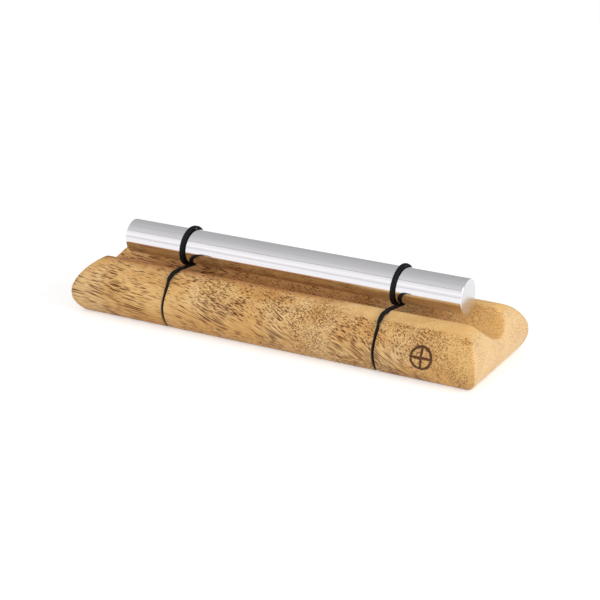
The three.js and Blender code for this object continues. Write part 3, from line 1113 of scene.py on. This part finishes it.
def metal_material():
    """Drawn lines along the bar and turned rings on its ends."""
    n = Surface("polished_aluminium")
    end_on = n.end_share(*METAL_END_FACING)
    from_axis = n.join(n.x, n.y, n.math("SUBTRACT", n.z, BAR_AXIS_HEIGHT))
    drawn = n.noise(from_axis, DRAWN_SIZE, detail=3.0, rough=0.6)
    turned = n.noise(n.join(n.axis_distance(BAR_AXIS_HEIGHT), 0, 0), TURNED_SIZE)
    relief = n.math("ADD", n.product(drawn, n.math("SUBTRACT", 1, end_on)),
                    n.product(turned, end_on))
    rough = n.math("ADD", n.span(drawn, *MIDDLE, *METAL_ROUGHNESS),
                   n.product(end_on, METAL_END_ROUGHNESS))
    tone = n.blend(n.span(drawn, *MIDDLE), METAL_LIGHT, METAL_DARK)
    tone = n.blend(end_on, tone, METAL_END)
    n.set(Base_Color=tone, Roughness=rough, Normal=n.bump(relief, *METAL_BUMP),
          Metallic=n.span(end_on, 0, 1, 1, METAL_END_SHARE))
    return n.material


# The cords' look
CORD_BLACK = linear(3, 3, 6)
CORD_GREY = linear(10, 11, 17)
CORD_BLUE = linear(9, 11, 20)
THREAD_SIZE = 0.16
PATCH_SIZE = 1.4
PATCH_RANGE = (0.4, 0.8)
PATCH_SHARE = 0.4
CORD_ROUGHNESS = (0.48, 0.66)
CORD_SPECULAR = 0.27
CORD_BUMP = (0.05, 0.8)


def cord_material():
    n = Surface("braided_elastic")
    thread = n.noise(n.mm, THREAD_SIZE, detail=3.0)
    patch = n.noise(n.mm, PATCH_SIZE)
    tone = n.blend(n.span(thread, *MIDDLE), CORD_BLACK, CORD_GREY)
    tone = n.blend(n.span(patch, *PATCH_RANGE, 0, PATCH_SHARE), tone, CORD_BLUE)
    n.set(Base_Color=tone, Specular_IOR_Level=CORD_SPECULAR,
          Roughness=n.span(thread, *WIDE_MIDDLE, *CORD_ROUGHNESS),
          Normal=n.bump(thread, *CORD_BUMP))
    return n.material


# The stage in metres: floor, a grey ceiling card and a pale front card that the bar mirrors, a lamp
FLOOR_REACH = 8
FLOOR_DROP = 0.0001
FLOOR_ALBEDO = 0.8
FLOOR_LIFT = 0.48
CARD_REACH = 9
CEILING_HEIGHT = 1.6
CEILING_FRONT = -1.48
CEILING_BACK = 40
CEILING_LEVELS = (
    (CEILING_FRONT, 0.3), (CEILING_FRONT + 0.12, 0.35), (CEILING_FRONT + 0.15, 0.81),
    (0, 0.61), (1.2, 0.53), (4, 0.47))
FRONT_CARD_Y = -3.4
FRONT_CARD_BOTTOM = 0.01
FRONT_CARD_TOP = 2.6
FRONT_LEVELS = (
    (FRONT_CARD_BOTTOM, 0.84), (0.35, 0.86), (0.7, 1), (1.1, 1.16), (1.5, 1.14), (2.2, 1.03))
WORLD_LEVEL = 0.62
LAMP_PLACE = (1.5, -0.2, 0.7)
LAMP_SIZE = 0.7
LAMP_POWER = 9.5

# The photograph's view: its place, the line it looks along and its focal length
CAMERA_PLACE = (0.39580, -0.71093, 0.32557)
CAMERA_AHEAD = (-0.45132, 0.81868, -0.35507)
SENSOR_WIDTH = 36
FOCAL_LENGTH = 101.9
CLIP_START = 0.01
CLIP_END = 50


def shown_share(n):
    """1 for rays that show the background: camera, mirror and see-through rays."""
    path = n.add("ShaderNodeLightPath").outputs
    shown = n.math("MAXIMUM", path["Is Camera Ray"], path["Is Glossy Ray"])
    return n.math("MAXIMUM", shown, path["Is Transmission Ray"])


def bare_material(name):
    """A material with an empty tree, its nodes and the socket for its surface."""
    material = bpy.data.materials.new(name)
    material.use_nodes = True
    material.node_tree.nodes.clear()
    n = Nodes(material.node_tree)
    return material, n, n.add("ShaderNodeOutputMaterial").inputs["Surface"]


def floor_material():
    """White and matt, and lifted a little where it is seen."""
    material, n, surface = bare_material("white_table")
    matt = n.add("ShaderNodeBsdfDiffuse")
    n.put((FLOOR_ALBEDO, FLOOR_ALBEDO, FLOOR_ALBEDO, 1), matt.inputs["Color"])
    both = n.add("ShaderNodeAddShader")
    n.put(matt.outputs[0], both.inputs[0])
    n.put(n.glow(n.product(shown_share(n), FLOOR_LIFT)), both.inputs[1])
    n.put(both.outputs[0], surface)
    return material


def glow_material(name, axis, stops):
    """A glowing card whose level follows (metres along an axis, level) stops."""
    material, n, surface = bare_material(name)
    along = n.split(n.place())[axis]
    level = stops[0][1]
    for (low, from_level), (high, to_level) in zip(stops, stops[1:]):
        change = n.span(along, low, high, 0, to_level - from_level, "LINEAR")
        level = n.math("ADD", level, change)
    n.put(n.glow(level), surface)
    return material


def sheet(name, corners, material):
    mesh = bpy.data.meshes.new(name)
    mesh.from_pydata(corners, [], [(0, 1, 2, 3)])
    mesh.materials.append(material)
    scene_object(name, mesh)


def level_sheet(name, low, high, height, material):
    (x0, y0), (x1, y1) = low, high
    sheet(name, [(x0, y0, height), (x1, y0, height), (x1, y1, height), (x0, y1, height)], material)


def upright_sheet(name, y, x_range, z_range, material):
    (x0, x1), (z0, z1) = x_range, z_range
    sheet(name, [(x0, y, z0), (x1, y, z0), (x1, y, z1), (x0, y, z1)], material)


def make_world():
    world = bpy.data.worlds.new("white_room")
    bpy.context.scene.world = world
    world.use_nodes = True
    n = Nodes(world.node_tree)
    ground = n.tree.nodes["Background"].inputs
    n.put((1, 1, 1, 1), ground["Color"])
    n.put(n.span(shown_share(n), 0, 1, WORLD_LEVEL, 1, "LINEAR"), ground["Strength"])


def turned_to(ahead):
    """How a lamp or camera is turned to look along a line."""
    return ahead.to_track_quat("-Z", "Y").to_euler()


def make_lamp():
    data = bpy.data.lights.new("side", "AREA")
    data.shape = "RECTANGLE"
    data.size = LAMP_SIZE
    data.size_y = LAMP_SIZE
    data.energy = LAMP_POWER
    lamp = scene_object("side", data)
    lamp.location = LAMP_PLACE
    lamp.rotation_euler = turned_to(-Vector(LAMP_PLACE))


def make_stage():
    level_sheet("floor", (-FLOOR_REACH, -FLOOR_REACH), (FLOOR_REACH, FLOOR_REACH), -FLOOR_DROP,
                floor_material())
    level_sheet("ceiling_card", (-CARD_REACH, CEILING_FRONT), (CARD_REACH, CEILING_BACK),
                CEILING_HEIGHT, glow_material("ceiling_glow", "Y", CEILING_LEVELS))
    upright_sheet("front_card", FRONT_CARD_Y, (-CARD_REACH, CARD_REACH),
                  (FRONT_CARD_BOTTOM, FRONT_CARD_TOP),
                  glow_material("front_glow", "Z", FRONT_LEVELS))
    make_world()
    make_lamp()


def make_camera():
    data = bpy.data.cameras.new("camera")
    data.sensor_width = SENSOR_WIDTH
    data.lens = FOCAL_LENGTH
    data.clip_start = CLIP_START
    data.clip_end = CLIP_END
    camera = scene_object("camera", data)
    camera.location = CAMERA_PLACE
    camera.rotation_euler = turned_to(Vector(CAMERA_AHEAD))
    bpy.context.scene.camera = camera


def finish_piece(piece, material):
    piece.data.materials.clear()
    piece.data.materials.append(material)


make_camera()
cord_look = cord_material()
for hand, cord in CORDS.items():
    for piece in make_cord(hand, cord):
        finish_piece(piece, cord_look)

base = make_base()
finish_piece(base, wood_material())
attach(base, "base")
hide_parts("wooden_base")

bar = make_bar()
finish_piece(bar, metal_material())
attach(bar, "bar")
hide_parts("chime_bar")

make_stage()
bpy.context.scene.view_settings.view_transform = "Standard"
